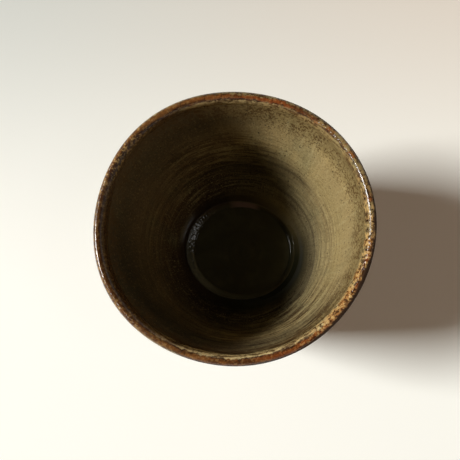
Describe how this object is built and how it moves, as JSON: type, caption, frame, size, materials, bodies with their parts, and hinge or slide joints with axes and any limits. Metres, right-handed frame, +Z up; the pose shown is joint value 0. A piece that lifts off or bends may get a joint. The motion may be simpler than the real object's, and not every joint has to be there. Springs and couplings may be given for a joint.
{
  "type": "cup",
  "caption": "Hand-thrown stoneware cup without a handle: a tapered wall on a turned foot ring, a floor with a shallow well, and ash glaze over the lip and inside.",
  "frame": {"origin": "middle of the circle that the foot ring stands on, at table level", "axes": "+Z up along the cup's axis; the cup is round, so +X and +Y have no feature of their own"},
  "size_m": [0.088, 0.088, 0.084],
  "materials": {
    "stoneware_clay": "unglazed, fine-grained and dull, turned",
    "dark_iron_glaze": "glossy near-black brown glaze with lighter runs",
    "rust_rim_glaze": "thin satin rust-brown glaze, speckled and broken over the lip",
    "olive_ash_glaze": "satin khaki and olive ash glaze over finger grooves, browner low down",
    "pooled_glaze": "glossy dark olive glaze pooled thick on the floor"
  },
  "bodies": {
    "root": {"clay_body": "stoneware_clay", "outer_glaze": "dark_iron_glaze", "rim_glaze": "rust_rim_glaze", "inner_glaze": "olive_ash_glaze", "well_glaze": "pooled_glaze"}
  },
  "joints": []
}
